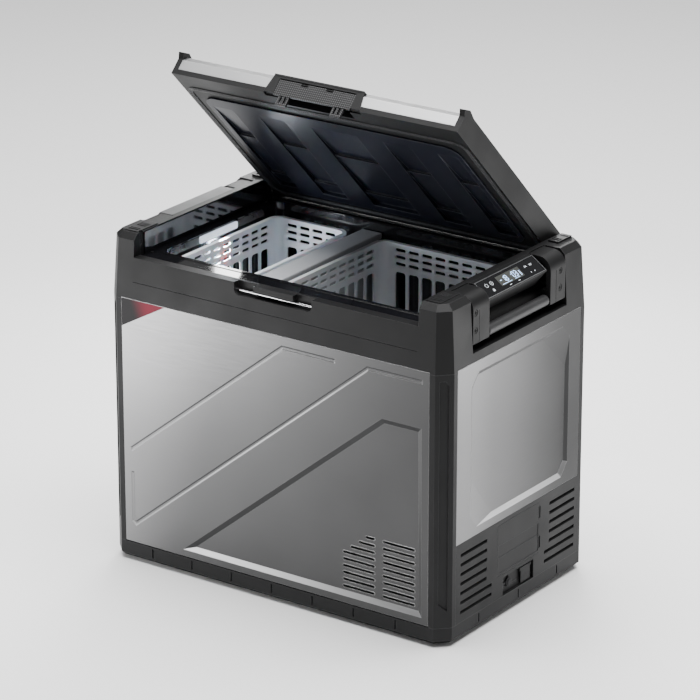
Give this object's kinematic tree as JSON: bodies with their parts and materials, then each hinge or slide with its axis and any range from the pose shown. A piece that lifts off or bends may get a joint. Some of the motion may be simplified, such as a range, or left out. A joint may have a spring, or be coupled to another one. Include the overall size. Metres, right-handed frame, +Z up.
{
  "type": "compressor cooler fridge",
  "caption": "Steel-clad portable compressor fridge with a hinged insulated lid, latch, end handles, touch display, lift-out baskets and a ventilated machine bay.",
  "frame": {"origin": "on the floor, at the middle of the cabinet's footprint", "axes": "+X to the display end, the front faces -Y, +Z up; the lid stands half open"},
  "size_m": [0.662, 0.4176, 0.8424],
  "materials": {
    "black_plastic": "fine moulded texture",
    "gloss_black": "polished",
    "liner_plastic": "smooth",
    "lid_plastic": "satin",
    "steel": "satin",
    "label": "gloss",
    "rubber": "matte",
    "grip_rubber": "satin",
    "pin_steel": "machined",
    "chrome": "polished",
    "white_plastic": "satin",
    "grey_plastic": "satin",
    "grey_cover": "satin",
    "foam": "rigid foam",
    "copper": "drawn",
    "aluminium": "mill",
    "painted_steel": "painted",
    "display_glass": "polished",
    "lcd": "lit panel",
    "led": "lit",
    "lens": "clear",
    "board": "circuit board",
    "bush": "acetal"
  },
  "bodies": {
    "root": {"base_tray": "black_plastic", "rubber_feet": "rubber", "corner_post_front_right": "black_plastic", "corner_post_front_left": "black_plastic", "corner_post_rear_right": "black_plastic", "corner_post_rear_left": "black_plastic", "front_panel": "steel", "rear_panel": "steel", "left_panel": "steel", "right_panel": "steel", "corner_label": "label", "vent_panel": "black_plastic", "cover_pins": "pin_steel", "dc_inlet": "black_plastic", "ac_inlet": "black_plastic", "upper_frame": "black_plastic", "rim_bezel": "gloss_black", "keeper_bar": "chrome", "keeper_plate": "black_plastic", "liner": "liner_plastic", "foam_insulation": "foam", "evaporator_coil": "copper", "led_strip": "led", "led_lens": "lens", "handle_straps_right": "black_plastic", "handle_straps_left": "black_plastic", "handle_bars": "pin_steel", "handle_grip_right": "grip_rubber", "handle_grip_left": "grip_rubber", "case_screws": "pin_steel", "display_housing": "black_plastic", "display_glass": "display_glass", "lcd_module": "lcd", "left_side_cover": "grey_cover", "hinge_pins": "pin_steel", "compressor_plate": "painted_steel", "compressor_grommets": "rubber", "compressor": "painted_steel", "condenser": "aluminium", "fan_shroud": "black_plastic", "filter_drier": "copper", "control_board": "board", "refrigerant_pipes": "copper"},
    "lid": {"lid_frame": "black_plastic", "lid_skin": "steel", "lid_inner_panel": "lid_plastic", "lid_foam": "foam", "lid_gasket": "rubber", "hinge_bushes": "bush", "latch_bezel": "black_plastic", "latch_pin": "pin_steel", "latch_spring": "pin_steel"},
    "latch": {"latch_grip": "black_plastic"},
    "door": {"service_door": "black_plastic"},
    "flap": {"ac_socket_cover": "black_plastic"},
    "fan": {"fan_rotor": "black_plastic"},
    "left_basket": {"basket_left": "white_plastic"},
    "right_basket": {"basket_right": "white_plastic"},
    "zone_divider": {"divider": "grey_plastic"}
  },
  "joints": [
    {"name": "lid_hinge", "type": "hinge", "parent": "root", "child": "lid", "pos_m": [0, 0.18865, 0.545], "axis": [-1, 0, 0], "range_deg": [-45, 45]},
    {"name": "latch_pull", "type": "hinge", "parent": "lid", "child": "latch", "pos_m": [0, -0.0804, 0.8282], "axis": [-1, 0, 0], "range_deg": [0, 35], "stiffness_Nm_per_rad": 0.3},
    {"name": "door_swing", "type": "hinge", "parent": "root", "child": "door", "pos_m": [0.3282, 0.06335, 0.1165], "axis": [0, 0, 1], "range_deg": [0, 90]},
    {"name": "flap_lift", "type": "hinge", "parent": "root", "child": "flap", "pos_m": [0.3275, 0.02715, 0.0615], "axis": [0, -1, 0], "range_deg": [0, 95]},
    {"name": "fan_spin", "type": "hinge", "parent": "root", "child": "fan", "pos_m": [0.205, -0.16085, 0.104], "axis": [0, 1, 0], "continuous": true},
    {"name": "left_basket_lift", "type": "slide", "parent": "root", "child": "left_basket", "axis": [0, 0, 1], "range_m": [0, 0.04]},
    {"name": "right_basket_lift", "type": "slide", "parent": "root", "child": "right_basket", "axis": [0, 0, 1], "range_m": [0, 0.04]},
    {"name": "divider_lift", "type": "slide", "parent": "root", "child": "zone_divider", "axis": [0, 0, 1], "range_m": [0, 0.035]}
  ]
}
